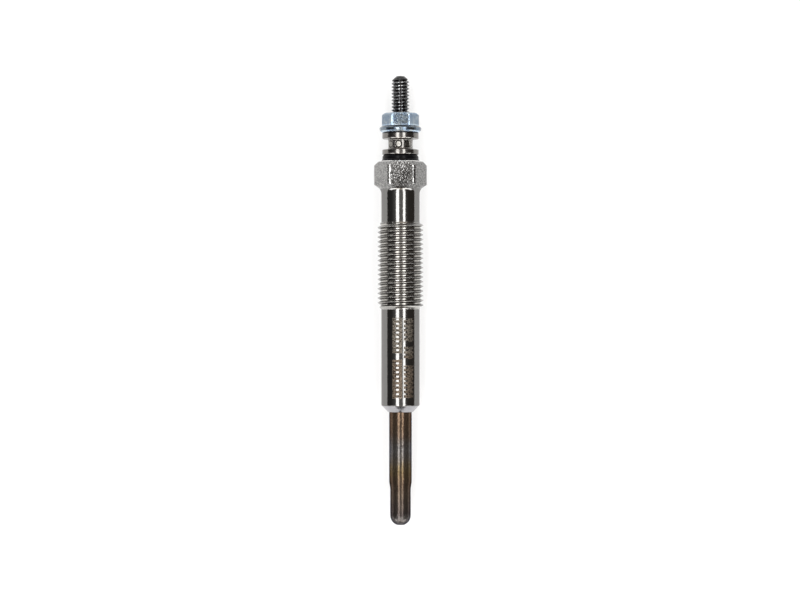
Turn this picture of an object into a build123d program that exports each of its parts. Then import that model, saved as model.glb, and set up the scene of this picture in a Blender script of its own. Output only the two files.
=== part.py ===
from build123d import *
from math import cos, radians, sqrt, tan
import os

# A sheathed-element diesel glow plug, lying on its side on one flat of its hexagon.
# The axis runs along Y: the heater tip points to -Y, the terminal stud to +Y, and +Z is up.
# The origin is on the axis, where the heater tube leaves the small end of the conical seat.
# All sizes are in millimetres.

# Body shell: seat, barrel, fastening thread, shank and hexagon, one turned piece
barrel_radius = 4.075
seat_small_radius = 2.72
seat_half_angle = 41.5
barrel_length = 20.32
thread_radius = 4.9
thread_length = 18.45
thread_lead_in = 0.55
shank_radius = 4.075
shank_length = 6.0
neck_radius = 4.5
neck_height = 1.2
hex_across_flats = 9.95
hex_corner_radius = 0.8
hex_height = 5.8
hex_lower_slope = 0.73
hex_upper_slope = 0.9
hex_top_circle_radius = 4.72
upper_bore_radius = 2.6
counterbore_radius = 3.0

# Heater tube: drawn tube with a swaged tip, pressed into the barrel
tube_radius = 2.4
tube_wall = 0.55
tube_projection = 24.0
tube_grip_length = 21.0
tip_radius = 2.18
tip_length = 7.7
swage_length = 1.4
dome_height = 2.0
tip_closure = 1.5

# Coils inside the tube, wound to one pitch and joined end to end
coil_cover = 0.35
coil_pitch = 2.1
heating_wire_radius = 0.22
heating_turns = 3
control_wire_radius = 0.18
control_turns = 3
weld_gap = 0.1
slot_clearance = 0.02

# Centre rod: terminal stud, shaft, tube end and coil pin
stud_radius = 1.925
stud_pitch_radius = 1.76
stud_chamfer = 1.1
stud_exposed_length = 7.9
stud_hidden_length = 3.0
shaft_radius = 1.6
rod_step_chamfer = 0.3
rod_powder_gap = 0.65
pin_wrap_length = 2.2
pin_clearance = 0.04
pin_shoulder_gap = 0.3
shaft_shoulder_gap = 0.6

# Seals
tube_seal_length = 2.4
seal_ring_clearance = 0.01
seal_ring_height = 1.2

# Insulating bush
bush_radius = 3.85
bush_foot_radius = 4.15
bush_foot_height = 0.45
bush_height = 1.4
bush_edge_chamfer = 0.3
spigot_length = 2.5
spigot_clearance = 0.05
thread_clearance = 0.02

# Round nut, a spool with a row of stake marks round its waist
round_nut_radius = 3.88
round_nut_height = 4.65
round_nut_upper_flange = 1.3
round_nut_lower_flange = 1.05
waist_radius = 2.59
waist_chamfer = 0.35
stake_radius = 0.85
stake_depth = 0.3
stake_taper = 40
stake_sides = 8
stake_count = 8
stake_turn = -13

# Terminal nut, a hexagon on a flange
nut_across_flats = 6.95
nut_corner_radius = 0.6
nut_height = 4.15
nut_top_circle_radius = 3.35
nut_top_slope = 0.95
nut_turn = -3
flange_radius = 4.5
flange_foot_radius = 3.75
flange_bevel_height = 0.7
flange_rim_height = 0.15
flange_slope_height = 0.45
flange_neck_radius = 4.05
nut_bore_chamfer = 0.3

# Heights along the axis, worked out from the lengths above
seat_top = (barrel_radius - seat_small_radius) / tan(radians(seat_half_angle))
thread_bottom = seat_top + barrel_length
thread_top = thread_bottom + thread_length
shank_top = thread_top + shank_length
neck_top = shank_top + neck_height
hex_top = neck_top + hex_height
bush_top = hex_top + bush_height
round_nut_top = bush_top + round_nut_height
nut_top = round_nut_top + nut_height
stud_top = nut_top + stud_exposed_length
tip_bottom = -tube_projection

# Sharp corners of the two hexagons, just outside their rounded ones
hex_corner = hex_across_flats / 2 / cos(radians(30))
nut_corner = nut_across_flats / 2 / cos(radians(30))

# The sheath's inner form
tube_inner_radius = tube_radius - tube_wall
tip_inner_radius = tip_radius - tube_wall
dome_centre = tip_bottom + dome_height
dome_flat_radius = sqrt(tip_radius**2 - dome_height**2)
inner_end = tip_bottom + tip_closure
swage_bottom = tip_bottom + tip_length
swage_top = swage_bottom + swage_length

# Where the coils, the rod's steps and the seals lie
coil_radius = tip_inner_radius - coil_cover - heating_wire_radius
slot_outer_radius = coil_radius + heating_wire_radius + slot_clearance
slot_inner_radius = coil_radius - heating_wire_radius - slot_clearance
slot_bottom = inner_end + weld_gap
coil_bottom = slot_bottom + heating_wire_radius + slot_clearance
coil_join = coil_bottom + heating_turns * coil_pitch
coil_top = coil_join + control_turns * coil_pitch
pin_radius = coil_radius - control_wire_radius - pin_clearance
pin_bottom = coil_top - pin_wrap_length
pin_shoulder = coil_top + control_wire_radius + pin_shoulder_gap
rod_end_radius = tube_inner_radius - rod_powder_gap
seal_bottom = tube_grip_length - tube_seal_length
shaft_bottom = tube_grip_length + shaft_shoulder_gap
spigot_bottom = hex_top - spigot_length
spigot_radius = counterbore_radius - spigot_clearance
seal_ring_width = counterbore_radius - stud_pitch_radius - 2 * seal_ring_clearance
counterbore_floor = spigot_bottom - seal_ring_height
stud_bottom = counterbore_floor - stud_hidden_length
press_bore_top = shaft_bottom + rod_step_chamfer
nut_bore_radius = stud_pitch_radius + thread_clearance

os.makedirs("parts", exist_ok=True)


# Body shell: hexagon trimmed by its chamfers, then the turned length below it, then the stepped bore
with BuildPart() as body_shell:
    with BuildSketch(Plane.ZX.offset(neck_top)) as hexagon:
        RegularPolygon(hex_across_flats / 2, 6, major_radius=False, rotation=30)
        fillet(hexagon.vertices(), radius=hex_corner_radius)
    extrude(amount=hex_height)
    with BuildSketch():
        with BuildLine():
            Polyline(
                (0, neck_top),
                (neck_radius, neck_top),
                (hex_corner, neck_top + hex_lower_slope * (hex_corner - neck_radius)),
                (hex_corner, hex_top - hex_upper_slope * (hex_corner - hex_top_circle_radius)),
                (hex_top_circle_radius, hex_top),
                (0, hex_top),
                close=True,
            )
        make_face()
    revolve(axis=Axis.Y, mode=Mode.INTERSECT)
    with BuildSketch():
        with BuildLine():
            Polyline(
                (0, neck_top),
                (0, 0),
                (seat_small_radius, 0),
                (barrel_radius, seat_top),
                (barrel_radius, thread_bottom),
                (thread_radius, thread_bottom + thread_lead_in),
                (thread_radius, thread_top - thread_lead_in),
                (shank_radius, thread_top),
                (shank_radius, shank_top),
            )
            TangentArc((shank_radius, shank_top), (neck_radius, neck_top), tangent=(0, 1))
            Line((neck_radius, neck_top), (0, neck_top))
        make_face()
    revolve(axis=Axis.Y)
    with BuildSketch():
        with BuildLine():
            Polyline(
                (0, 0),
                (tube_radius, 0),
                (tube_radius, press_bore_top),
                (upper_bore_radius, press_bore_top),
                (upper_bore_radius, counterbore_floor),
                (counterbore_radius, counterbore_floor),
                (counterbore_radius, hex_top),
                (0, hex_top),
                close=True,
            )
        make_face()
    revolve(axis=Axis.Y, mode=Mode.SUBTRACT)

# Heater tube: the sheath's section turned round the axis, closed at the tip
with BuildPart() as heater_tube:
    with BuildSketch():
        with BuildLine():
            Line((0, tip_bottom), (dome_flat_radius, tip_bottom))
            TangentArc((tip_radius, dome_centre), (dome_flat_radius, tip_bottom), tangent=(0, -1))
            Polyline(
                (tip_radius, dome_centre),
                (tip_radius, swage_bottom),
                (tube_radius, swage_top),
                (tube_radius, tube_grip_length),
                (tube_inner_radius, tube_grip_length),
                (tube_inner_radius, swage_top),
                (tip_inner_radius, swage_bottom),
                (tip_inner_radius, inner_end),
                (0, inner_end),
                (0, tip_bottom),
            )
        make_face()
    revolve(axis=Axis.Y)

# Heating coil: the front winding, from the closed tip to the joint with the control coil
with BuildPart() as heating_coil:
    with BuildLine() as heating_path:
        Helix(
            pitch=coil_pitch,
            height=coil_join - coil_bottom,
            radius=coil_radius,
            center=(0, coil_bottom, 0),
            direction=(0, 1, 0),
        )
    with BuildSketch(Plane(origin=heating_path.line @ 0, z_dir=heating_path.line % 0)):
        RegularPolygon(heating_wire_radius, 4)
    sweep(path=heating_path.line, is_frenet=True)

# Control coil: the rear winding, whose last turns sit on the rod's end pin
with BuildPart() as control_coil:
    with BuildLine() as control_path:
        Helix(
            pitch=coil_pitch,
            height=coil_top - coil_join,
            radius=coil_radius,
            center=(0, coil_join, 0),
            direction=(0, 1, 0),
        )
    with BuildSketch(Plane(origin=control_path.line @ 0, z_dir=control_path.line % 0)):
        RegularPolygon(control_wire_radius, 4)
    sweep(path=control_path.line, is_frenet=True)

# Insulating powder: fills the sheath up to the tube seal, with room for the windings and the rod
with BuildPart() as insulating_powder:
    with BuildSketch():
        with BuildLine():
            Polyline(
                (0, inner_end),
                (tip_inner_radius, inner_end),
                (tip_inner_radius, swage_bottom),
                (tube_inner_radius, swage_top),
                (tube_inner_radius, seal_bottom),
                (rod_end_radius, seal_bottom),
                (rod_end_radius, pin_shoulder),
                (slot_outer_radius, pin_shoulder),
                (slot_outer_radius, slot_bottom),
                (slot_inner_radius, slot_bottom),
                (slot_inner_radius, pin_bottom),
                (0, pin_bottom),
                close=True,
            )
        make_face()
    revolve(axis=Axis.Y)

# Centre rod: coil pin, tube end, shaft and terminal stud, one turned piece
with BuildPart() as centre_rod:
    with BuildSketch():
        with BuildLine():
            Polyline(
                (0, pin_bottom),
                (pin_radius, pin_bottom),
                (pin_radius, pin_shoulder),
                (rod_end_radius, pin_shoulder),
                (rod_end_radius, shaft_bottom),
                (shaft_radius, shaft_bottom + rod_step_chamfer),
                (shaft_radius, stud_bottom - rod_step_chamfer),
                (stud_pitch_radius, stud_bottom),
                (stud_pitch_radius, nut_top),
                (stud_radius, nut_top),
                (stud_radius, stud_top - stud_chamfer),
                (stud_radius - stud_chamfer, stud_top),
                (0, stud_top),
                close=True,
            )
        make_face()
    revolve(axis=Axis.Y)

# Tube seal: elastomer ring in the mouth of the sheath, round the rod
with BuildPart() as tube_seal:
    with BuildSketch():
        with Locations(((tube_inner_radius + rod_end_radius) / 2, tube_grip_length - tube_seal_length / 2)):
            Rectangle(tube_inner_radius - rod_end_radius, tube_seal_length)
    revolve(axis=Axis.Y)

# Seal ring: elastomer ring on the counterbore's floor, under the bush
with BuildPart() as seal_ring:
    with BuildSketch():
        with Locations(
            ((counterbore_radius + stud_pitch_radius) / 2, counterbore_floor + seal_ring_height / 2)
        ):
            Rectangle(seal_ring_width, seal_ring_height)
    revolve(axis=Axis.Y)

# Insulating bush: a head with a flared foot on the body, and a spigot in the counterbore
with BuildPart() as insulating_bush:
    with BuildSketch():
        with BuildLine():
            Polyline(
                (bush_radius, hex_top + bush_foot_height),
                (bush_radius, bush_top - bush_edge_chamfer),
                (bush_radius - bush_edge_chamfer, bush_top),
                (nut_bore_radius, bush_top),
                (nut_bore_radius, spigot_bottom),
                (spigot_radius, spigot_bottom),
                (spigot_radius, hex_top),
                (bush_foot_radius, hex_top),
                close=True,
            )
        make_face()
    revolve(axis=Axis.Y)

# Round nut: a spool screwed down on the bush and locked by a row of punched stake marks
with BuildPart() as round_nut:
    with BuildSketch() as spool:
        with BuildLine():
            Polyline(
                (nut_bore_radius, bush_top),
                (round_nut_radius, bush_top),
                (round_nut_radius, bush_top + round_nut_lower_flange),
                (waist_radius, bush_top + round_nut_lower_flange),
                (waist_radius, round_nut_top - round_nut_upper_flange),
                (round_nut_radius, round_nut_top - round_nut_upper_flange),
                (round_nut_radius, round_nut_top),
                (nut_bore_radius, round_nut_top),
                close=True,
            )
        make_face()
        chamfer(spool.vertices().group_by(Axis.X)[1], length=waist_chamfer)
    revolve(axis=Axis.Y)
    waist_middle = bush_top + (round_nut_height + round_nut_lower_flange - round_nut_upper_flange) / 2
    stake_planes = []
    for stake in range(stake_count):
        out = Vector(0, 0, 1).rotate(Axis.Y, stake_turn + 360 / stake_count * stake)
        stake_planes.append(
            Plane(origin=out * waist_radius + Vector(0, waist_middle, 0), x_dir=(0, 1, 0), z_dir=out)
        )
    with BuildSketch(*stake_planes):
        RegularPolygon(stake_radius, stake_sides)
    extrude(amount=-stake_depth, taper=stake_taper, mode=Mode.SUBTRACT)

# Terminal nut: hexagon with a chamfered top, blended into a round flange
with BuildPart() as terminal_nut:
    with BuildSketch(Plane.ZX.offset(round_nut_top + flange_bevel_height)) as nut_hexagon:
        RegularPolygon(nut_across_flats / 2, 6, major_radius=False, rotation=30 + nut_turn)
        fillet(nut_hexagon.vertices(), radius=nut_corner_radius)
    extrude(amount=nut_height - flange_bevel_height)
    with BuildSketch():
        with BuildLine():
            Polyline(
                (0, round_nut_top),
                (nut_corner, round_nut_top),
                (nut_corner, nut_top - nut_top_slope * (nut_corner - nut_top_circle_radius)),
                (nut_top_circle_radius, nut_top),
                (0, nut_top),
                close=True,
            )
        make_face()
    revolve(axis=Axis.Y, mode=Mode.INTERSECT)
    with BuildSketch():
        with BuildLine():
            Polyline(
                (0, round_nut_top),
                (flange_foot_radius, round_nut_top),
                (flange_radius, round_nut_top + flange_bevel_height),
                (flange_radius, round_nut_top + flange_bevel_height + flange_rim_height),
                (
                    flange_neck_radius,
                    round_nut_top + flange_bevel_height + flange_rim_height + flange_slope_height,
                ),
                (0, round_nut_top + flange_bevel_height + flange_rim_height + flange_slope_height),
                close=True,
            )
        make_face()
    revolve(axis=Axis.Y)
    with BuildSketch():
        with BuildLine():
            Polyline(
                (0, round_nut_top),
                (nut_bore_radius, round_nut_top),
                (nut_bore_radius, nut_top - nut_bore_chamfer),
                (nut_bore_radius + nut_bore_chamfer, nut_top),
                (0, nut_top),
                close=True,
            )
        make_face()
    revolve(axis=Axis.Y, mode=Mode.SUBTRACT)

body_shell.part.label = "body_shell"
heater_tube.part.label = "heater_tube"
heating_coil.part.label = "heating_coil"
control_coil.part.label = "control_coil"
insulating_powder.part.label = "insulating_powder"
centre_rod.part.label = "centre_rod"
tube_seal.part.label = "tube_seal"
seal_ring.part.label = "seal_ring"
insulating_bush.part.label = "insulating_bush"
round_nut.part.label = "round_nut"
terminal_nut.part.label = "terminal_nut"

export_step(body_shell.part, "parts/body_shell.step")
export_step(heater_tube.part, "parts/heater_tube.step")
export_step(heating_coil.part, "parts/heating_coil.step")
export_step(control_coil.part, "parts/control_coil.step")
export_step(insulating_powder.part, "parts/insulating_powder.step")
export_step(centre_rod.part, "parts/centre_rod.step")
export_step(tube_seal.part, "parts/tube_seal.step")
export_step(seal_ring.part, "parts/seal_ring.step")
export_step(insulating_bush.part, "parts/insulating_bush.step")
export_step(round_nut.part, "parts/round_nut.step")
export_step(terminal_nut.part, "parts/terminal_nut.step")
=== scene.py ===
from math import atan2, ceil, cos, hypot, pi, radians, sin, sqrt, tan

import bmesh
import bpy
from mathutils import Matrix, Vector


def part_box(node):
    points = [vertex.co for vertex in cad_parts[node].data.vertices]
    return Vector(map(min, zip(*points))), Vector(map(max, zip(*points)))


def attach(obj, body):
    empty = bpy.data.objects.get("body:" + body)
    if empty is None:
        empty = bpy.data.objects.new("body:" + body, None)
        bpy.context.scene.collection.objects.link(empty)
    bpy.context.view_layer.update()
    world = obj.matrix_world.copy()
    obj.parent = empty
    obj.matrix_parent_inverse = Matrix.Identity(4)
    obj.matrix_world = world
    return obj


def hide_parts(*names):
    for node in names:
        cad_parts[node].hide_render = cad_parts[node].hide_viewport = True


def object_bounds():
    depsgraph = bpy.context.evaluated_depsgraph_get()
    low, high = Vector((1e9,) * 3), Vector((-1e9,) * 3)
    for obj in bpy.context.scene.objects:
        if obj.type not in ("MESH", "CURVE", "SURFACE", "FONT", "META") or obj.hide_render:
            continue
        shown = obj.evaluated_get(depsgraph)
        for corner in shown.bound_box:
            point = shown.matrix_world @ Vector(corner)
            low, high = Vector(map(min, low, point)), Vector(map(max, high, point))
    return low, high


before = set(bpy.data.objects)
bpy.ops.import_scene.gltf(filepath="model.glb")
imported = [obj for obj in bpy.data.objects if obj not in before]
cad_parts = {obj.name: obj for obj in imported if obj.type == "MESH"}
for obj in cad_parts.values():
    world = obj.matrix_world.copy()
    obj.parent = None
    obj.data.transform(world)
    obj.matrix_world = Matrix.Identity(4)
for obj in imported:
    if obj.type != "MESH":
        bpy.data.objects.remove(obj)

# The looks of a diesel glow plug that lies on one flat of its hexagon.
# The axis runs along Y, the heater tip points to -Y, and +Z is up.
# Outlines are written in millimetres, as (distance from the axis, height along the axis).
MM = 0.001

cad_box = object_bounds()


def heights(node):
    """Where a CAD node starts and ends along the axis, in millimetres."""
    low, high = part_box(node)
    return low.y / MM, high.y / MM


# Heights along the axis, read from the frame
tip_bottom, tube_mouth = heights("heater_tube")
seat_bottom, hex_top = heights("body_shell")
bush_bottom, bush_top = heights("insulating_bush")
round_nut_bottom, round_nut_top = heights("round_nut")
nut_bottom, nut_top = heights("terminal_nut")
rod_bottom, stud_top = heights("centre_rod")
floor_height = cad_box[0].z

# Body: seat, barrel, thread, shank and hexagon
barrel_radius = 4.075
seat_small_radius = 2.72
seat_half_angle = 43.5
seat_top = seat_bottom + (barrel_radius - seat_small_radius) / tan(radians(seat_half_angle))
neck_radius = 4.5
neck_bend_radius = 1.907
hex_across_flats = 9.95
hex_flat_width = 4.4
hex_roll_off = 1.7
hex_height = 5.8
hex_lower_slope = 0.73
hex_upper_slope = 1.05
hex_top_circle_radius = 4.72
neck_top = hex_top - hex_height
shank_top = neck_top - 1.2
thread_top = shank_top - 6.0
thread_bottom = thread_top - 18.45
upper_bore_radius = 2.6
counterbore_radius = 3.0
press_bore_top = tube_mouth + 0.9
counterbore_floor = heights("seal_ring")[0]

# Etched fields on the barrel: (first angle, last angle, bottom, top), angles in degrees from +Z towards +X
etched_fields = (
    (-27.5, 1.5, 12.6, 20.0),
    (-27.5, 1.5, 3.0, 11.2),
    (7.5, 37.5, 15.0, 19.9),
    (7.5, 37.5, 11.4, 13.9),
    (7.5, 37.5, 3.1, 9.9),
)

# The ladder of bare bars in the etched fields, in degrees round the axis and millimetres along it
ladder_pitch = 26.5
ladder_turn = -18.5
rung_pitch = 0.93
bar_share = 0.4

# Fastening thread, right-hand, with a short gap at each end that is bridged to the body's outline
thread_gap = 0.03
thread_pitch = 0.998
thread_crest_radius = 4.88
thread_crest_rounding = 0.08
thread_root_rounding = 0.08
thread_top_lead_in = 0.55
thread_bottom_lead_in = 0.75
thread_phase_height = 39.185 + 0.25 * thread_pitch

# Terminal stud thread, right-hand
stud_pitch = 0.7064
stud_crest_radius = 1.9
stud_crest_rounding = 0.13
stud_root_rounding = 0.04
stud_blank_radius = 1.76
stud_chamfer = 1.1
stud_phase_height = 70.0
stud_start = nut_top - 0.25

# Centre rod below the stud
stud_bottom = counterbore_floor - 3.0
shaft_radius = 1.6
shaft_bottom = tube_mouth + 0.6
rod_step_chamfer = 0.3
rod_end_radius = 1.2
pin_shoulder = heights("control_coil")[1] + 0.3
pin_radius = 0.84

# Round nut: its waist and the ring of stake marks round it
waist_radius = 2.59
waist_bottom = round_nut_bottom + 1.05
waist_top = round_nut_top - 1.3
stake_count = 8
stake_first = -13
stake_height = (waist_bottom + waist_top) / 2

# Heater tube
tube_radius = 2.4
tube_wall = 0.55
tip_radius = 2.18
dome_height = 2.0
tip_length = 7.7
swage_length = 1.4
tip_closure = 1.5

# Terminal nut: its hexagon, and the flange under it
nut_across_flats = 6.95
nut_flat_width = 2.8
nut_roll_off = 3.0
nut_turn = radians(-3)
nut_top_circle = 3.44
flange_foot = 3.75
flange_neck = 4.05
flange_top = nut_bottom + 1.32

# The bores of both nuts and the bush clear the thread's stand-in by a little
rod_bore = 1.78

# Camera, aimed at the picture's centre
camera_distance = 490
camera_turn = radians(3.1)
picture_centre = Vector((-0.1, 23.8, 0)) * MM
camera_lens = 103.6

# Floor and lamps, in metres; the strips' edges are degrees from the camera's direction, seen from the plug
floor_size = 3.0
floor_glow = 0.6
strip_height = 1.0
strip_start = -2.0
strip_end = 1.0
strip_brightness = 5.6
strips = (("lamp_left", -25.8, -9.3), ("lamp_right", 15.8, 29.0))

# Low lamps beyond the plug's ends: name, side, from x to x, from z to z, brightness
end_distance = 1.0
end_lamps = (
    ("lamp_tip_end_left", -1, (-1.3, -0.34), (0.17, 0.6), 4.5),
    ("lamp_tip_end_right", -1, (0.26, 1.3), (0.17, 0.6), 4.5),
    ("lamp_stud_end", 1, (-1.0, 1.0), (0.0, 0.3), 1.6),
)


def rounded(corners, steps=4):
    """An outline's points from (radius, height, fillet) corners, with an arc at each filleted one."""
    points = []
    for index, (radius, height, fillet) in enumerate(corners):
        here = Vector((radius, height))
        if not fillet:
            points.append(here)
            continue
        back = (Vector(corners[index - 1][:2]) - here).normalized()
        on = (Vector(corners[index + 1][:2]) - here).normalized()
        half_angle = back.angle(on) / 2
        centre = here + (back + on).normalized() * fillet / sin(half_angle)
        first = here + back * fillet / tan(half_angle) - centre
        last = here + on * fillet / tan(half_angle) - centre
        sweep = first.angle_signed(last)
        for step in range(steps + 1):
            turn = Matrix.Rotation(-sweep * step / steps, 2)
            points.append(centre + turn @ first)
    return [(p.x, p.y) for p in points]


def arc(centre, radius, first, last, steps):
    """Points on an arc in an outline, between two angles in degrees from straight out."""
    turns = [radians(first + (last - first) * step / steps) for step in range(steps + 1)]
    return [(centre[0] + radius * cos(a), centre[1] + radius * sin(a)) for a in turns]


def hexagon_radius(angle, across_flats, flat_width, roll_off):
    """Distance from the axis to a hexagon, at an angle from one flat's middle.

    Each flat is plane over flat_width, and bends towards its corners with the radius roll_off."""
    from_flat = abs((angle + pi / 6) % (pi / 3) - pi / 6)
    if tan(from_flat) * across_flats <= flat_width:
        return across_flats / 2 / cos(from_flat)
    aside = flat_width / 2
    out = across_flats / 2 - roll_off
    along = aside * sin(from_flat) + out * cos(from_flat)
    return along + sqrt(roll_off**2 - aside**2 - out**2 + along**2)


def hexagon_angles(across_flats, flat_width, turn=0.0, steps=16):
    """Angles round a hexagon, close together towards its corners."""
    edge = atan2(flat_width, across_flats)
    angles = []
    for side in range(6):
        middle = turn + side * pi / 3
        angles += [middle - edge + 2 * edge * k / steps for k in range(steps)]
        angles += [middle + edge + (pi / 3 - 2 * edge) * k / steps for k in range(steps)]
    return angles


def angle_of(vert):
    """A vertex's angle round the axis, from +Z towards +X."""
    return atan2(vert.co.x, vert.co.z)


def place(vert, angle, radius, height):
    """Put a vertex at an angle, a radius and a height, the last two in millimetres."""
    vert.co = Vector((radius * sin(angle), height, radius * cos(angle))) * MM


def start_ring(bm, angles):
    """A circle round the axis with its vertices at the given angles."""
    before = set(bm.edges)
    upright = Matrix.Rotation(radians(-90), 4, "X")
    made = bmesh.ops.create_circle(bm, segments=len(angles), radius=MM, matrix=upright)["verts"]
    made.sort(key=lambda vert: angle_of(vert) % (2 * pi))
    for vert, angle in zip(made, sorted(a % (2 * pi) for a in angles)):
        place(vert, angle, 1, 0)
    return [edge for edge in bm.edges if edge not in before]


def even_angles(count):
    """Angles spread evenly round the axis."""
    return [2 * pi * k / count for k in range(count)]


def turned(bm, ring, outline, keep_first=False):
    """Pull a ring of edges along an outline, by extruding it once for each point.

    outline(angle) lists (radius, height) points. With keep_first the ring stays where it is."""
    placed = {vert: angle_of(vert) for edge in ring for vert in edge.verts}
    points = {angle: outline(angle) for angle in set(placed.values())}
    count = len(next(iter(points.values())))
    for step in range(count):
        if step or keep_first:
            angle_at = {vert.co.to_tuple(): angle for vert, angle in placed.items()}
            new = bmesh.ops.extrude_edge_only(bm, edges=ring)["geom"]
            verts = {g for g in new if isinstance(g, bmesh.types.BMVert)}
            ring = [g for g in new if isinstance(g, bmesh.types.BMEdge) and set(g.verts) <= verts]
            placed = {vert: angle_at[vert.co.to_tuple()] for vert in verts}
        for vert, angle in placed.items():
            place(vert, angle, *points[angle][step])
    return ring


def boundary_at(bm, height):
    """The open edges that lie in the plane at a height along the axis."""
    return [
        edge
        for edge in bm.edges
        if edge.is_boundary and all(abs(vert.co.y / MM - height) < 0.002 for vert in edge.verts)
    ]


def wound_thread(bm, section, pitch, crest_height, bottom, top, shape, steps=96):
    """Wind a thread's section up the axis, shape its ends and trim it between two heights.

    section lists (share of a pitch, radius) over one pitch, with a crest at share 0 and 1.
    shape(radius, height) gives the radius that is left at a height."""
    start = crest_height - pitch * ceil((crest_height - bottom) / pitch + 1)
    turns = ceil((top - start) / pitch) + 1
    verts = [bm.verts.new(Vector((0, start + share * pitch, radius)) * MM) for share, radius in section]
    edges = [bm.edges.new(pair) for pair in zip(verts, verts[1:])]
    bmesh.ops.spin(
        bm,
        geom=verts + edges,
        cent=(0, 0, 0),
        axis=(0, 1, 0),
        dvec=(0, pitch * MM / steps, 0),
        angle=2 * pi,
        steps=steps,
        use_merge=False,
    )
    one_turn = list(bm.verts) + list(bm.edges) + list(bm.faces)
    for turn in range(1, turns):
        copied = bmesh.ops.duplicate(bm, geom=one_turn)["geom"]
        copied_verts = [g for g in copied if isinstance(g, bmesh.types.BMVert)]
        bmesh.ops.translate(bm, verts=copied_verts, vec=(0, turn * pitch * MM, 0))
    bmesh.ops.remove_doubles(bm, verts=bm.verts, dist=0.005 * MM)
    for vert in bm.verts:
        radius = hypot(vert.co.x, vert.co.z) / MM
        place(vert, angle_of(vert), shape(radius, vert.co.y / MM), vert.co.y / MM)
    for height, outward in ((bottom, -1), (top, 1)):
        bmesh.ops.bisect_plane(
            bm,
            geom=list(bm.verts) + list(bm.edges) + list(bm.faces),
            dist=0.0005 * MM,
            plane_co=(0, height * MM, 0),
            plane_no=(0, outward, 0),
            clear_outer=True,
        )


def thread_section(pitch, crest, crest_rounding, root_rounding, steps=4):
    """One pitch of a thread with 60 degree flanks between rounded crests and roots, from crest to crest."""
    half = []
    for step in range(steps + 1):
        tilt = radians(60) * step / steps
        half.append((crest_rounding * sin(tilt), crest - crest_rounding * (1 - cos(tilt))))
    flank = pitch / 2 - (crest_rounding + root_rounding) * sin(radians(60))
    root = half[-1][1] - flank * tan(radians(60)) - root_rounding / 2
    for step in range(steps + 1):
        tilt = radians(60) * (1 - step / steps)
        half.append((pitch / 2 - root_rounding * sin(tilt), root + root_rounding * (1 - cos(tilt))))
    whole = half + [(pitch - height, radius) for height, radius in half[-2::-1]]
    return [(height / pitch, radius) for height, radius in whole]


def close_ring(bm, ring):
    """Fill a ring of edges with one face."""
    bmesh.ops.edgeloop_fill(bm, edges=ring)


def piece_from(bm, name, materials, choose=None, sharp=radians(32)):
    """Turn a bmesh into a piece; choose(radius, height) gives the index of a face's material."""
    bmesh.ops.remove_doubles(bm, verts=bm.verts, dist=0.001 * MM)
    bmesh.ops.recalc_face_normals(bm, faces=bm.faces)
    closed = all(edge.is_manifold for edge in bm.edges)
    if closed and bm.calc_volume(signed=True) < 0:
        bmesh.ops.reverse_faces(bm, faces=bm.faces)
    for face in bm.faces:
        face.smooth = True
        if choose:
            middle = face.calc_center_median() / MM
            face.material_index = choose(hypot(middle.x, middle.z), middle.y)
    for edge in bm.edges:
        edge.smooth = not edge.is_manifold or edge.calc_face_angle(0) < sharp
    mesh = bpy.data.meshes.new(name)
    bm.to_mesh(mesh)
    bm.free()
    for material in materials:
        mesh.materials.append(material)
    piece = bpy.data.objects.new(name, mesh)
    bpy.context.scene.collection.objects.link(piece)
    return piece


def stands_for(piece, node):
    """The piece rides on the body and hides a CAD node."""
    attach(piece, "root")
    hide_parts(node)


# Shader helpers


def add(tree, kind, inputs=None, **settings):
    """Add a shader node; each input is a plain value or another node's output."""
    made = tree.nodes.new("ShaderNode" + kind)
    for name, value in settings.items():
        setattr(made, name, value)
    for key, value in (inputs or {}).items():
        if isinstance(value, bpy.types.NodeSocket):
            tree.links.new(value, made.inputs[key])
        else:
            made.inputs[key].default_value = value
    return made


def new_material(name, metallic, roughness=0.5):
    """A material with its shader ready: (material, tree, shader)."""
    material = bpy.data.materials.new(name)
    material.use_nodes = True
    tree = material.node_tree
    shader = tree.nodes["Principled BSDF"]
    shader.inputs["Metallic"].default_value = metallic
    shader.inputs["Roughness"].default_value = roughness
    return material, tree, shader


def object_point(tree, scale=(1, 1, 1)):
    """Object coordinates, stretched by a scale along each axis."""
    point = add(tree, "TexCoord").outputs["Object"]
    return add(tree, "Mapping", {"Vector": point, "Scale": scale}).outputs["Vector"]


def grain(tree, size_mm, stretch=(1, 1, 1), detail=3.0, roughness=0.6):
    """Noise whose features are about size_mm wide before the stretch."""
    point = object_point(tree, stretch)
    inputs = {"Vector": point, "Scale": 1 / (size_mm * MM), "Detail": detail, "Roughness": roughness}
    return add(tree, "TexNoise", inputs).outputs["Fac"]


def ramp(tree, value, stops):
    """A colour ramp over (position, colour) stops."""
    made = add(tree, "ValToRGB", {"Fac": value})
    elements = made.color_ramp.elements
    for index, (position, shade) in enumerate(stops):
        element = elements[index] if index < 2 else elements.new(position)
        element.position = position
        element.color = colour(*shade)
    return made.outputs["Color"]


def span(tree, value, low, high, to_low=0.0, to_high=1.0, smooth=False):
    """Map a value from one range to another, held at both ends."""
    inputs = {"Value": value, "From Min": low, "From Max": high, "To Min": to_low, "To Max": to_high}
    kind = "SMOOTHSTEP" if smooth else "LINEAR"
    return add(tree, "MapRange", inputs, interpolation_type=kind).outputs["Result"]


def maths(tree, operation, first, second=0.0):
    """One arithmetic step."""
    return add(tree, "Math", {0: first, 1: second}, operation=operation).outputs["Value"]


def part_of(tree, axis):
    """One object coordinate: X, Y (along the plug's axis) or Z."""
    point = add(tree, "TexCoord").outputs["Object"]
    return add(tree, "SeparateXYZ", {"Vector": point}).outputs[axis]


def angle_round(tree):
    """Angle round the plug's axis, from +Z towards +X."""
    return maths(tree, "ARCTAN2", part_of(tree, "X"), part_of(tree, "Z"))


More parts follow.
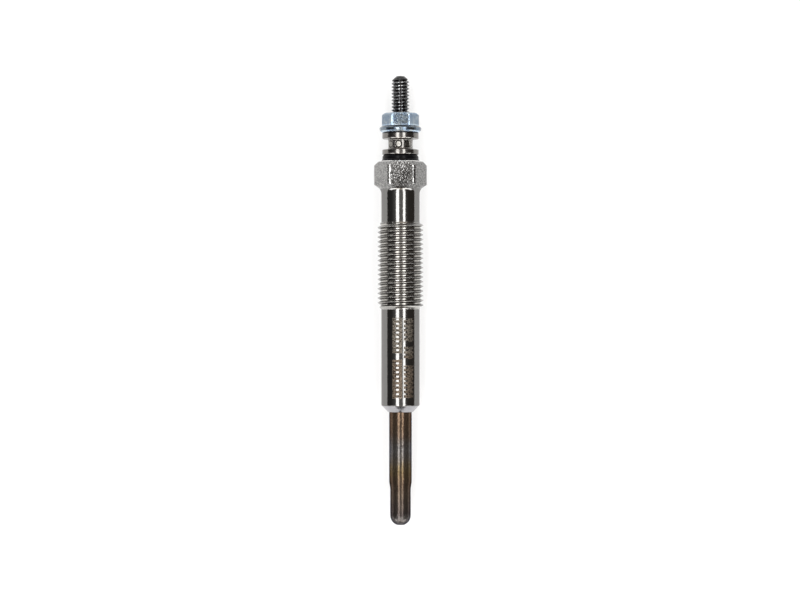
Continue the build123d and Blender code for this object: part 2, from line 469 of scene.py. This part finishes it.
def from_axis(tree):
    """Distance from the plug's axis."""
    return add(tree, "VectorMath", {0: object_point(tree, (1, 0, 1))}, operation="LENGTH").outputs["Value"]


def stepped(tree, value, stops):
    """A factor read from (value in mm, factor) stops."""
    low, high = stops[0][0], stops[-1][0]
    share = span(tree, value, low * MM, high * MM)
    largest = max(factor for place_mm, factor in stops)
    shades = [((place_mm - low) / (high - low), (factor / largest,) * 3) for place_mm, factor in stops]
    return maths(tree, "MULTIPLY", ramp(tree, share, shades), largest)


def scaled(tree, shade, factor):
    """A colour times a factor."""
    made = add(tree, "VectorMath", {0: shade}, operation="SCALE")
    tree.links.new(factor, made.inputs["Scale"])
    return made.outputs["Vector"]


def mix(tree, share, first, second):
    """Blend two colours by a share."""
    return add(tree, "MixRGB", {"Fac": share, "Color1": first, "Color2": second}).outputs["Color"]


def bump(tree, shader, *layers):
    """Stack bumps of (height, depth in mm) onto a shader's normal."""
    normal = None
    for height, depth_mm in layers:
        inputs = {"Height": height, "Distance": depth_mm * MM, "Strength": 1.0}
        if normal:
            inputs["Normal"] = normal
        normal = add(tree, "Bump", inputs).outputs["Normal"]
    tree.links.new(normal, shader.inputs["Normal"])


def colour(*rgb):
    """A colour with full opacity."""
    return (*rgb, 1)


def satin(tree, size_mm, smoothest, roughest):
    """A roughness that a grain moves between two levels."""
    return span(tree, grain(tree, size_mm), 0.3, 0.7, smoothest, roughest)


def dress(tree, shader, shade, roughness):
    """Link a colour and a roughness to a shader."""
    tree.links.new(shade, shader.inputs["Base Color"])
    tree.links.new(roughness, shader.inputs["Roughness"])


def within(tree, value, low, high, edge):
    """1 between two values, falling to 0 over a short edge outside them."""
    rising = span(tree, value, low - edge, low)
    falling = span(tree, value, high, high + edge, 1.0, 0.0)
    return maths(tree, "MULTIPLY", rising, falling)


def repeated(tree, value, pitch, share):
    """1 over a share of every pitch, and 0 over the rest."""
    place_in_pitch = maths(tree, "FRACT", maths(tree, "DIVIDE", value, pitch))
    return maths(tree, "LESS_THAN", place_in_pitch, share)


# Finishes


def etched_mask(tree):
    """1 where the barrel is etched: plain fields with an even ladder of short bare bars in each."""
    angle = angle_round(tree)
    height = part_of(tree, "Y")
    etched = 0.0
    for first, last, bottom, top in etched_fields:
        round_axis = within(tree, angle, radians(first), radians(last), 0.02)
        along_axis = within(tree, height, bottom * MM, top * MM, 0.08 * MM)
        etched = maths(tree, "MAXIMUM", etched, maths(tree, "MULTIPLY", round_axis, along_axis))
    from_ladder = maths(tree, "SUBTRACT", angle, radians(ladder_turn))
    ladders = repeated(tree, from_ladder, radians(ladder_pitch), bar_share)
    rungs = repeated(tree, height, rung_pitch * MM, bar_share)
    bars = maths(tree, "MULTIPLY", ladders, rungs)
    return maths(tree, "MULTIPLY", etched, maths(tree, "SUBTRACT", 1.0, bars))


def turned_steel():
    """Plated turned steel with faint tool lines, and matt brown fields etched into the barrel."""
    material, tree, shader = new_material("turned_steel", 1.0)
    etched = etched_mask(tree)
    cloud = grain(tree, 2.5, (1, 0.6, 1))
    plain = mix(tree, cloud, colour(0.185, 0.182, 0.177), colour(0.215, 0.212, 0.206))
    speckle = span(tree, grain(tree, 0.24, detail=1), 0.36, 0.64)
    greyer = span(tree, part_of(tree, "Y"), 11.5 * MM, 13.0 * MM)
    light = mix(tree, greyer, colour(0.22, 0.176, 0.135), colour(0.23, 0.205, 0.17))
    brown = mix(tree, speckle, colour(0.015, 0.011, 0.008), light)
    shader.inputs["Specular Tint"].default_value = colour(0.7, 0.7, 0.7)
    matt = maths(tree, "MULTIPLY", etched, 0.42)
    roughness = maths(tree, "ADD", satin(tree, 0.4, 0.08, 0.15), matt)
    dress(tree, shader, mix(tree, etched, plain, brown), roughness)
    tool_lines = grain(tree, 0.5, (0.05, 4, 0.05))
    bump(tree, shader, (tool_lines, 0.0015), (grain(tree, 0.4, detail=4), 0.005))
    return material


def ground_steel():
    """Bright ground steel of the conical seat."""
    material, tree, shader = new_material("ground_steel", 1.0)
    cloud = mix(tree, grain(tree, 1.0), colour(0.33, 0.327, 0.342), colour(0.44, 0.437, 0.454))
    dress(tree, shader, cloud, satin(tree, 0.4, 0.1, 0.18))
    bump(tree, shader, (grain(tree, 0.3, (0.1, 3, 0.1)), 0.003), (grain(tree, 0.6), 0.01))
    return material


def forged_steel():
    """Plated forged steel of the hexagon, with an orange-peel surface that is smoother over one half. The
    rougher half is painted lighter and the smoother half darker, as painted light and shade, and a painted
    highlight runs under the top edge.
    """
    material, tree, shader = new_material("forged_steel", 1.0)
    speckle = span(tree, grain(tree, 0.3, detail=1), 0.4, 0.6)
    above_middle = maths(tree, "SUBTRACT", part_of(tree, "Y"), (neck_top + hex_height / 2) * MM)
    slant = maths(tree, "MULTIPLY", above_middle, -0.5)
    side = maths(tree, "ADD", maths(tree, "ADD", part_of(tree, "X"), 0.35 * MM), slant)
    blend = 0.6 * MM
    pale = span(tree, side, -blend, blend, 1.0, 0.0, smooth=True)
    # The halves' colours are painted light and shade: lighter over the rougher half, darker over the
    # smoother one.
    rough_lit_half = mix(tree, speckle, colour(0.17, 0.169, 0.166), colour(0.34, 0.337, 0.331))
    smooth_shaded_half = mix(tree, speckle, colour(0.1, 0.099, 0.097), colour(0.27, 0.267, 0.261))
    cloud = mix(tree, pale, smooth_shaded_half, rough_lit_half)
    # A pale band just under the top edge: a painted highlight on the top bevel.
    rim = span(tree, part_of(tree, "Y"), (hex_top - 0.2) * MM, (hex_top - 0.12) * MM)
    dress(tree, shader, mix(tree, rim, cloud, colour(0.8, 0.79, 0.78)), satin(tree, 0.3, 0.07, 0.13))
    smoothing = span(tree, side, -blend, blend, 1.0, 0.85)
    bump(tree, shader, (maths(tree, "MULTIPLY", grain(tree, 0.28, detail=1), smoothing), 0.054))
    return material


def threaded_steel():
    """Plated steel of the rolled thread: painted highlights make it brightest in its roots and on its
    crests, dullest on its flanks; near its bottom end it has a painted bright line and a painted dark band,
    and it is darker towards its top lead-in.
    """
    material, tree, shader = new_material("threaded_steel", 1.0)
    cloud = grain(tree, 0.5, (1, 0.5, 1))
    shade = mix(tree, cloud, colour(0.205, 0.2, 0.191), colour(0.3, 0.293, 0.28))
    # Painted highlights in the roots and on the crests, with duller flanks between.
    radii = [(4.16, 2.4), (4.28, 1.6), (4.38, 0.95), (4.7, 0.85), (4.84, 1.3)]
    painted_glints_and_shade = scaled(tree, shade, stepped(tree, from_axis(tree), radii))
    # Along the axis: a painted bright line and a painted dark band near the bottom end, and darker towards
    # the top lead-in.
    places = [
        (thread_bottom + 0.34, 0.8),
        (thread_bottom + 0.42, 2.4),
        (thread_bottom + 0.66, 2.4),
        (thread_bottom + 0.72, 0.3),
        (thread_bottom + 0.9, 0.3),
        (thread_bottom + 0.98, 1.0),
        (thread_top - 0.5, 1.0),
        (thread_top - 0.35, 0.45),
    ]
    ends = stepped(tree, part_of(tree, "Y"), places)
    dress(tree, shader, scaled(tree, painted_glints_and_shade, ends), satin(tree, 0.2, 0.14, 0.24))
    bump(tree, shader, (grain(tree, 0.5), 0.002))
    return material


def dark_steel():
    """Oxidised rolled steel of the terminal stud, with painted highlights on its crests and painted shade
    over its rounded end.
    """
    material, tree, shader = new_material("dark_steel", 1.0)
    # Crests lighter than the flanks: painted highlights.
    crests = span(tree, from_axis(tree), 1.72 * MM, 1.84 * MM)
    patchy = span(tree, grain(tree, 0.35, detail=1), 0.35, 0.65)
    flank = mix(tree, patchy, colour(0.032, 0.0325, 0.033), colour(0.17, 0.172, 0.175))
    crest = mix(tree, patchy, colour(0.055, 0.056, 0.057), colour(0.36, 0.366, 0.372))
    # The rounded end is painted darker: painted shade.
    end = span(tree, part_of(tree, "Y"), (stud_top - 1.1) * MM, (stud_top - 0.7) * MM)
    dark_end = mix(tree, patchy, colour(0.01, 0.01, 0.01), colour(0.07, 0.07, 0.07))
    shade = mix(tree, end, mix(tree, crests, flank, crest), dark_end)
    dress(tree, shader, shade, satin(tree, 0.25, 0.09, 0.16))
    bump(tree, shader, (grain(tree, 0.25), 0.003))
    return material


def blued_zinc():
    """Zinc plate with a bluish passivation that clouds into darker patches, and bands along its height:
    painted highlights on the flange's lower bevel, the hexagon's lower bevel and its top edge, and painted
    shade in the crease between flange and hexagon.
    """
    material, tree, shader = new_material("blued_zinc", 1.0)
    stops = [(0.35, (0.145, 0.196, 0.266)), (0.5, (0.202, 0.25, 0.302)), (0.65, (0.282, 0.32, 0.347))]
    # Factors along the height: painted highlights on the bevels and top edge, and painted shade in the
    # crease above the flange.
    places = [
        (0.0, 2.4),
        (0.34, 2.4),
        (0.42, 0.8),
        (1.05, 0.8),
        (1.15, 0.3),
        (1.36, 0.3),
        (1.5, 1.6),
        (1.72, 1.6),
        (1.82, 1.0),
        (nut_top - nut_bottom - 0.35, 1.0),
        (nut_top - nut_bottom - 0.25, 1.5),
    ]
    height = maths(tree, "SUBTRACT", part_of(tree, "Y"), nut_bottom * MM)
    cloud = ramp(tree, grain(tree, 0.9, detail=3), stops)
    dress(tree, shader, scaled(tree, cloud, stepped(tree, height, places)), satin(tree, 0.3, 0.14, 0.24))
    bump(tree, shader, (grain(tree, 0.3, detail=2), 0.036))
    return material


def warm_nickel():
    """Warm nickel plate of the round nut, satin from turning, with painted shade where it meets its
    neighbours and a painted highlight just above its bottom edge.
    """
    material, tree, shader = new_material("warm_nickel", 1.0)
    cloud = mix(tree, grain(tree, 0.8), colour(0.15, 0.143, 0.135), colour(0.22, 0.212, 0.2))
    # Factors along the height: painted shade at both faces where neighbours meet it, and a painted
    # highlight on the lower chamfer.
    places = [
        (round_nut_bottom, 0.15),
        (round_nut_bottom + 0.06, 0.15),
        (round_nut_bottom + 0.1, 1.2),
        (round_nut_bottom + 0.2, 1.0),
        (round_nut_top - 0.2, 1.0),
        (round_nut_top - 0.14, 0.1),
    ]
    factor = stepped(tree, part_of(tree, "Y"), places)
    dress(tree, shader, scaled(tree, cloud, factor), satin(tree, 0.3, 0.12, 0.26))
    bump(tree, shader, (grain(tree, 0.4, (0.1, 3, 0.1)), 0.003), (grain(tree, 0.3), 0.006))
    return material


def stamped_nickel():
    """The round nut's metal where the punches have roughened it, with painted shade in the groove round
    each stake's disc, set by distance from each stake.
    """
    material, tree, shader = new_material("stamped_nickel", 1.0)
    cloud = mix(tree, grain(tree, 0.3, detail=1), colour(0.2, 0.192, 0.176), colour(0.34, 0.33, 0.305))
    stake_pitch = 2 * pi / stake_count
    from_first = maths(tree, "SUBTRACT", angle_round(tree), radians(stake_first))
    turns = maths(tree, "DIVIDE", from_first, stake_pitch)
    turns_aside = maths(tree, "SUBTRACT", maths(tree, "FRACT", maths(tree, "ADD", turns, 0.5)), 0.5)
    aside = maths(tree, "MULTIPLY", turns_aside, stake_pitch * waist_radius * MM)
    along = maths(tree, "SUBTRACT", part_of(tree, "Y"), stake_height * MM)
    squares = [maths(tree, "MULTIPLY", side, side) for side in (aside, along)]
    distance = maths(tree, "SQRT", maths(tree, "ADD", *squares))
    # By distance from each stake's middle: a disc that lightens towards its edge, painted shade in the
    # groove round it, then the plain roughened metal.
    places = [(0.0, 0.5), (0.2, 0.75), (0.54, 0.95), (0.59, 0.08), (0.7, 0.08), (0.77, 0.8), (0.95, 0.9)]
    dress(tree, shader, scaled(tree, cloud, stepped(tree, distance, places)), satin(tree, 0.2, 0.2, 0.34))
    bump(tree, shader, (grain(tree, 0.3, detail=1), 0.02))
    return material


def black_plastic():
    """Black moulded plastic of the insulating bush."""
    material, tree, shader = new_material("black_plastic", 0.0)
    shader.inputs["Specular IOR Level"].default_value = 0.07
    cloud = mix(tree, grain(tree, 0.6), colour(0.002, 0.002, 0.0024), colour(0.006, 0.006, 0.0068))
    dress(tree, shader, cloud, satin(tree, 0.3, 0.16, 0.28))
    bump(tree, shader, (grain(tree, 0.25), 0.004))
    return material


def tempered_sheath():
    """Heat-resisting sheath in temper colours that change along its length."""
    material, tree, shader = new_material("tempered_sheath", 0.8)
    shader.inputs["Specular IOR Level"].default_value = 0.0
    shader.inputs["Specular Tint"].default_value = colour(0.1, 0.15, 0.27)
    wander = span(tree, grain(tree, 1.5), 0.0, 1.0, -1.2 * MM, 1.2 * MM)
    height = maths(tree, "ADD", part_of(tree, "Y"), wander)
    along = span(tree, height, tip_bottom * MM, seat_bottom * MM)
    stops = [
        (0.0, (0.1, 0.093, 0.09)),
        (0.075, (0.095, 0.085, 0.08)),
        (0.1, (0.06, 0.049, 0.046)),
        (0.27, (0.086, 0.066, 0.05)),
        (0.36, (0.076, 0.053, 0.038)),
        (0.41, (0.09, 0.063, 0.042)),
        (0.46, (0.098, 0.071, 0.039)),
        (0.52, (0.107, 0.083, 0.052)),
        (0.58, (0.1, 0.088, 0.077)),
        (0.67, (0.105, 0.099, 0.097)),
        (0.73, (0.092, 0.08, 0.072)),
        (0.79, (0.093, 0.067, 0.05)),
        (0.89, (0.098, 0.067, 0.045)),
        (1.0, (0.112, 0.077, 0.053)),
    ]
    speckle = span(tree, grain(tree, 0.25, detail=2), 0.35, 0.65, 0.65, 1.35)
    burnt = span(tree, along, 0.1, 0.4, 0.05, 0.0)
    roughness = maths(tree, "ADD", satin(tree, 0.3, 0.12, 0.21), burnt)
    dress(tree, shader, scaled(tree, ramp(tree, along, stops), speckle), roughness)
    deepest_on_dome = span(tree, along, 0.075, 0.1, 1.0, 0.45)
    oxide = maths(tree, "MULTIPLY", grain(tree, 0.26, detail=1), deepest_on_dome)
    bump(tree, shader, (grain(tree, 0.4, (0.1, 2, 0.1)), 0.003), (oxide, 0.05))
    return material


def plain_finish(name, low, high, metallic, roughness, size_mm, depth_mm):
    """A finish for the hidden pieces: two colours clouded together, with a fine grain."""
    material, tree, shader = new_material(name, metallic, roughness)
    cloud = mix(tree, grain(tree, size_mm), colour(*low), colour(*high))
    tree.links.new(cloud, shader.inputs["Base Color"])
    bump(tree, shader, (grain(tree, size_mm / 2), depth_mm))
    return material


# Pieces


def bend_end_angle():
    """Where the neck's bend ends, in degrees from straight out, seen from its centre."""
    reach = barrel_radius + neck_bend_radius - neck_radius
    return 180 - atan2(neck_top - shank_top, reach) * 180 / pi


def make_body(finishes):
    """The body: its thread is wound, and the rest is one outline pulled round the axis, bore included."""
    bm = bmesh.new()
    rise = thread_crest_radius - barrel_radius

    def shape(radius, height):
        low = barrel_radius + (height - thread_bottom) * rise / thread_bottom_lead_in
        high = barrel_radius + (thread_top - height) * rise / thread_top_lead_in
        return max(barrel_radius, min(radius, low, high))

    section = thread_section(
        thread_pitch, thread_crest_radius, thread_crest_rounding, thread_root_rounding
    )
    wound_thread(bm, section, thread_pitch, thread_phase_height, thread_bottom, thread_top, shape)

    def outline(angle):
        wall = hexagon_radius(angle, hex_across_flats, hex_flat_width, hex_roll_off)
        corners = [
            (barrel_radius, thread_bottom - thread_gap, 0),
            (barrel_radius, seat_top, 0.35),
            (seat_small_radius, seat_bottom, 0.08),
            (tube_radius, seat_bottom, 0),
            (tube_radius, press_bore_top, 0),
            (upper_bore_radius, press_bore_top, 0),
            (upper_bore_radius, counterbore_floor, 0),
            (counterbore_radius, counterbore_floor, 0),
            (counterbore_radius, hex_top, 0),
            (hex_top_circle_radius, hex_top, 0.25),
            (wall, hex_top - hex_upper_slope * (wall - hex_top_circle_radius), 0.15),
            (wall, neck_top + hex_lower_slope * (wall - neck_radius), 0.12),
            (neck_radius, neck_top, 0),
        ]
        bend_centre = (barrel_radius + neck_bend_radius, shank_top)
        bend = arc(bend_centre, neck_bend_radius, bend_end_angle(), 180, 8)
        return rounded(corners) + bend[1:] + [(barrel_radius, thread_top + thread_gap)]

    first_ring = start_ring(bm, hexagon_angles(hex_across_flats, hex_flat_width))
    last_ring = turned(bm, first_ring, outline)
    low_edge = boundary_at(bm, thread_bottom) + boundary_at(bm, thread_bottom - thread_gap)
    high_edge = boundary_at(bm, thread_top) + last_ring
    bmesh.ops.bridge_loops(bm, edges=low_edge)
    bmesh.ops.bridge_loops(bm, edges=high_edge)

    plain, threaded, forged, ground = range(4)

    def choose(radius, height):
        if thread_bottom - 0.05 < height < thread_top + 0.05:
            return threaded
        if height < seat_top - 0.1 and radius > tube_radius + 0.01:
            return ground
        return forged if height > neck_top - 0.1 else plain

    return piece_from(bm, "body_dressed", finishes, choose)


def make_rod(finish):
    """The centre rod: its stud's thread is wound, and the rest is pulled down round the axis."""
    bm = bmesh.new()

    def shape(radius, height):
        start = min(1, max(0, (height - stud_start) / 0.2))
        below_top = min(1, max(0, (stud_top - height) / stud_chamfer))
        end = stud_crest_radius - stud_chamfer * (1 - below_top) ** 1.5
        held = stud_blank_radius + (radius - stud_blank_radius) * start
        return min(held, end)

    section = thread_section(stud_pitch, stud_crest_radius, stud_crest_rounding, stud_root_rounding)
    wound_thread(bm, section, stud_pitch, stud_phase_height, stud_start, stud_top, shape, steps=64)
    low = boundary_at(bm, stud_start)

    def outline(angle):
        corners = [
            (stud_blank_radius, stud_bottom, 0.05),
            (shaft_radius, stud_bottom - rod_step_chamfer, 0.05),
            (shaft_radius, shaft_bottom + rod_step_chamfer, 0.05),
            (rod_end_radius, shaft_bottom, 0),
            (rod_end_radius, pin_shoulder, 0),
            (pin_radius, pin_shoulder, 0),
            (pin_radius, rod_bottom, 0),
        ]
        return rounded([(stud_blank_radius, stud_start - 0.5, 0)] + corners)

    close_ring(bm, boundary_at(bm, stud_top))
    close_ring(bm, turned(bm, low, outline, keep_first=True))
    return piece_from(bm, "centre_rod_dressed", [finish])


def make_terminal_nut(finish):
    """The terminal nut: a hexagon blended into a flange, with its bore."""
    bm = bmesh.new()

    def outline(angle):
        wall = hexagon_radius(angle - nut_turn, nut_across_flats, nut_flat_width, nut_roll_off)
        return rounded(
            [
                (rod_bore, nut_bottom + 1, 0),
                (rod_bore, nut_bottom, 0),
                (flange_foot, nut_bottom, 0.1),
                (4.34, nut_bottom + 0.4, 0.1),
                (4.47, nut_bottom + 0.9, 0.2),
                (4.36, nut_bottom + 1.12, 0.15),
                (flange_neck, flange_top, 0.12),
                (wall, flange_top + 0.4 * (flange_neck - wall), 0.25),
                (wall, nut_top - 0.75 * (wall - nut_top_circle), 0.15),
                (nut_top_circle, nut_top, 0.12),
                (rod_bore + 0.3, nut_top, 0.04),
                (rod_bore, nut_top - 0.3, 0.04),
                (rod_bore, nut_bottom + 1, 0),
            ]
        )

    turned(bm, start_ring(bm, hexagon_angles(nut_across_flats, nut_flat_width, nut_turn)), outline)
    return piece_from(bm, "terminal_nut_dressed", [finish])


def make_round_nut(finish, stamped):
    """The round nut: a spool with a filleted waist, and a row of stake marks punched into it."""
    radius = 3.88
    bm = bmesh.new()

    def outline(angle):
        return rounded(
            [
                (rod_bore, round_nut_bottom + 1, 0),
                (rod_bore, round_nut_bottom, 0),
                (radius - 0.1, round_nut_bottom, 0),
                (radius, round_nut_bottom + 0.17, 0.03),
                (radius, waist_bottom, 0.12),
                (waist_radius, waist_bottom, 0.5),
                (waist_radius, waist_top, 0.5),
                (radius - 0.1, waist_top, 0),
                (radius, waist_top + 0.17, 0.03),
                (radius, round_nut_top, 0.12),
                (rod_bore, round_nut_top, 0),
                (rod_bore, round_nut_bottom + 1, 0),
            ]
        )

    turned(bm, start_ring(bm, even_angles(128)), outline)
    nut = piece_from(bm, "round_nut_dressed", [finish, stamped])
    return cut_away(nut, make_punches())


def make_punches():
    """The tool that stakes the round nut: a ring of punches that each leave a disc in a groove."""
    disc = 0.56
    rim = 0.9
    points = rounded(
        [(0.2, -0.1, 0), (disc, -0.12, 0.03), (disc + 0.12, -0.3, 0.03), (rim, 0.15, 0), (rim, 1.2, 0)]
    )
    bm = bmesh.new()
    for stake in range(stake_count):
        before = set(bm.verts)
        ring = start_ring(bm, even_angles(40))
        close_ring(bm, turned(bm, ring, lambda angle: points))
        close_ring(bm, ring)
        punch = [vert for vert in bm.verts if vert not in before]
        turn = radians(stake_first + 360 / stake_count * stake)
        out = Vector((sin(turn), 0, cos(turn)))
        seat = Vector((0, stake_height, 0)) + out * waist_radius
        upright = out.to_track_quat("Y", "X").to_matrix().to_4x4()
        bmesh.ops.transform(bm, matrix=Matrix.Translation(seat * MM) @ upright, verts=punch)
    return piece_from(bm, "punches", [], lambda radius, height: 1)


def cut_away(piece, tool):
    """Take a tool's shape out of a piece, and the tool out of the scene."""
    step = piece.modifiers.new("cut", "BOOLEAN")
    step.operation = "DIFFERENCE"
    step.solver = "EXACT"
    step.object = tool
    bpy.context.view_layer.update()
    cut = piece.evaluated_get(bpy.context.evaluated_depsgraph_get())
    mesh = bpy.data.meshes.new_from_object(cut)
    piece.modifiers.clear()
    piece.data = mesh
    bpy.data.objects.remove(tool)
    return piece


def make_bush(finish):
    """The insulating bush: a flared foot, a rounded head and the hidden spigot."""
    spigot = 2.95
    bm = bmesh.new()

    def outline(angle):
        return rounded(
            [
                (rod_bore, bush_bottom + 1, 0),
                (rod_bore, bush_bottom, 0),
                (spigot, bush_bottom, 0.2),
                (spigot, hex_top, 0),
                (4.15, hex_top, 0.1),
                (3.85, hex_top + 0.45, 0.3),
                (3.85, bush_top, 0.55),
                (rod_bore, bush_top, 0),
                (rod_bore, bush_bottom + 1, 0),
            ]
        )

    turned(bm, start_ring(bm, even_angles(128)), outline)
    return piece_from(bm, "insulating_bush_dressed", [finish])


def make_heater_tube(finish):
    """The heater tube: domed tip, drawn-down end and straight run, with its wall."""
    dome_centre = tip_bottom + dome_height
    dome_flat = sqrt(tip_radius**2 - dome_height**2)
    swage_bottom = tip_bottom + tip_length
    swage_top = swage_bottom + swage_length
    bm = bmesh.new()
    first = -atan2(dome_height, dome_flat) * 180 / pi
    dome = arc((0, dome_centre), tip_radius, first, 0, 16)
    corners = [
        (tip_radius, dome_centre, 0),
        (tip_radius, swage_bottom, 2.5),
        (tube_radius, swage_top, 2.5),
        (tube_radius, tube_mouth, 0.15),
        (tube_radius - tube_wall, tube_mouth, 0),
        (tube_radius - tube_wall, swage_top, 0),
        (tip_radius - tube_wall, swage_bottom, 0),
        (tip_radius - tube_wall, tip_bottom + tip_closure, 0),
        (0.3, tip_bottom + tip_closure, 0),
    ]
    points = [(0.3, tip_bottom)] + dome + rounded(corners)[1:]
    close_ring(bm, turned(bm, start_ring(bm, even_angles(96)), lambda angle: points))
    close_ring(bm, boundary_at(bm, tip_bottom))
    return piece_from(bm, "heater_tube_dressed", [finish])


body_finishes = [turned_steel(), threaded_steel(), forged_steel(), ground_steel()]
stands_for(make_body(body_finishes), "body_shell")
stands_for(make_rod(dark_steel()), "centre_rod")
stands_for(make_terminal_nut(blued_zinc()), "terminal_nut")
stands_for(make_round_nut(warm_nickel(), stamped_nickel()), "round_nut")
stands_for(make_bush(black_plastic()), "insulating_bush")
stands_for(make_heater_tube(tempered_sheath()), "heater_tube")

# Hidden pieces keep their CAD shape: node, finish, two colours, metallic, roughness, grain size, bump depth
hidden_finishes = (
    ("seal_ring", "seal_rubber", (0.02, 0.02, 0.02), (0.035, 0.034, 0.033), 0.0, 0.6, 0.5, 0.01),
    ("tube_seal", "mouth_rubber", (0.12, 0.02, 0.015), (0.17, 0.03, 0.02), 0.0, 0.6, 0.5, 0.01),
    ("insulating_powder", "oxide_powder", (0.7, 0.69, 0.66), (0.8, 0.79, 0.77), 0.0, 0.9, 0.2, 0.02),
    ("control_coil", "nickel_wire", (0.4, 0.38, 0.35), (0.5, 0.48, 0.44), 1.0, 0.35, 0.3, 0.004),
    ("heating_coil", "heating_wire", (0.25, 0.24, 0.23), (0.36, 0.34, 0.32), 1.0, 0.4, 0.3, 0.004),
)
for node_name, *look in hidden_finishes:
    finish = plain_finish(*look)
    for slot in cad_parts[node_name].material_slots:
        slot.material = finish

# Camera
camera_data = bpy.data.cameras.new("camera")
camera_data.lens = camera_lens
camera_data.clip_start = 0.01
camera = bpy.data.objects.new("camera", camera_data)
camera.location = Vector((-sin(camera_turn), 0, cos(camera_turn))) * camera_distance * MM + picture_centre
back = (camera.location - picture_centre).normalized()
up = Vector((0, 1, 0))
camera.rotation_euler = Matrix((up.cross(back), up, back)).transposed().to_euler()
bpy.context.scene.collection.objects.link(camera)
bpy.context.scene.camera = camera

# Floor
floor_mesh = bmesh.new()
flat = Matrix.Translation((0, 0, floor_height))
bmesh.ops.create_grid(floor_mesh, x_segments=1, y_segments=1, size=floor_size, matrix=flat)
floor_finish, floor_tree, floor_shader = new_material("pale_floor", 0.0, 0.9)
floor_shader.inputs["Base Color"].default_value = colour(0.95, 0.95, 0.95)
floor_shader.inputs["Specular IOR Level"].default_value = 0.0
ray = add(floor_tree, "LightPath").outputs
seen = maths(floor_tree, "MAXIMUM", ray["Is Camera Ray"], ray["Is Glossy Ray"])
seen = maths(floor_tree, "MAXIMUM", seen, ray["Is Transmission Ray"])
glow = add(floor_tree, "Emission", {"Color": colour(1, 1, 1), "Strength": 1.0}).outputs["Emission"]
share = maths(floor_tree, "MULTIPLY", seen, floor_glow)
blend = add(floor_tree, "MixShader", {0: share, 1: floor_shader.outputs["BSDF"], 2: glow})
floor_tree.links.new(blend.outputs["Shader"], floor_tree.nodes["Material Output"].inputs["Surface"])
floor = piece_from(floor_mesh, "floor", [floor_finish])


def add_lamp(name, middle, tip_over, width, length, brightness):
    """A flat soft lamp: its middle, how far it tips from facing down, its size and its brightness."""
    data = bpy.data.lights.new(name, "AREA")
    data.shape = "RECTANGLE"
    data.size = width
    data.size_y = length
    data.energy = pi * brightness * width * length
    lamp = bpy.data.objects.new(name, data)
    lamp.location = middle
    lamp.rotation_euler = (tip_over, 0, 0)
    bpy.context.scene.collection.objects.link(lamp)


# Two long lamps over the plug, one each side of the camera, which it shows as bright strips
for name, first, last in strips:
    edges = [strip_height * tan(radians(a) - camera_turn) for a in (first, last)]
    middle = (sum(edges) / 2, picture_centre.y + (strip_start + strip_end) / 2, strip_height)
    add_lamp(name, middle, 0, edges[1] - edges[0], strip_end - strip_start, strip_brightness)

# Low lamps, which the plug's edges and bends show as bright lines
for name, side, across, up_down, brightness in end_lamps:
    middle = (sum(across) / 2, picture_centre.y + side * end_distance, sum(up_down) / 2)
    width, length = across[1] - across[0], up_down[1] - up_down[0]
    add_lamp(name, middle, radians(-90) * side, width, length, brightness)

# The room: pale below the horizon, and dark above it but for a glow between and beside the lamps.
# Each stop is (degrees from straight up towards +X, colour).
world = bpy.data.worlds.new("room")
bpy.context.scene.world = world
world.use_nodes = True
room = world.node_tree
direction = add(room, "SeparateXYZ", {"Vector": add(room, "TexCoord").outputs["Generated"]}).outputs
lean = maths(room, "ARCTAN2", direction["X"], direction["Z"])
room_stops = [
    (-90, (0.07, 0.068, 0.066)),
    (-60, (0.075, 0.073, 0.071)),
    (-50, (0.12, 0.117, 0.113)),
    (-40, (0.2, 0.196, 0.19)),
    (-29, (0.3, 0.294, 0.286)),
    (-12, (0.3, 0.294, 0.286)),
    (-6, (0.42, 0.407, 0.39)),
    (6, (0.42, 0.407, 0.39)),
    (12, (0.3, 0.29, 0.275)),
    (26, (0.2, 0.192, 0.18)),
    (36, (0.14, 0.132, 0.12)),
    (46, (0.092, 0.083, 0.074)),
    (90, (0.085, 0.074, 0.064)),
]
above = ramp(room, span(room, lean, -pi / 2, pi / 2), [((a + 90) / 180, c) for a, c in room_stops])
sideways = maths(room, "ABSOLUTE", lean)
endways = maths(room, "ABSOLUTE", direction["Y"])

# Beyond each end a warm glow, and a dark band under it
rising = span(room, endways, 0.68, 0.82)
falling = span(room, endways, 0.93, 0.97, 1.0, 0.0)
glow_width = span(room, sideways, radians(35), radians(70), 1.0, 0.0)
glow_share = maths(room, "MULTIPLY", maths(room, "MULTIPLY", rising, falling), glow_width)
above = mix(room, glow_share, above, colour(1.2, 1.06, 0.9))
band_width = span(room, sideways, radians(50), radians(75), 1.0, 0.0)
band_share = maths(room, "MULTIPLY", span(room, endways, 0.95, 0.98), band_width)
above = mix(room, band_share, above, colour(0.1, 0.1, 0.1))
below = maths(room, "LESS_THAN", direction["Z"], 0.0)
background = room.nodes["Background"]
room.links.new(mix(room, below, above, colour(0.85, 0.85, 0.85)), background.inputs["Color"])
background.inputs["Strength"].default_value = 1.0

bpy.context.scene.view_settings.view_transform = "Standard"
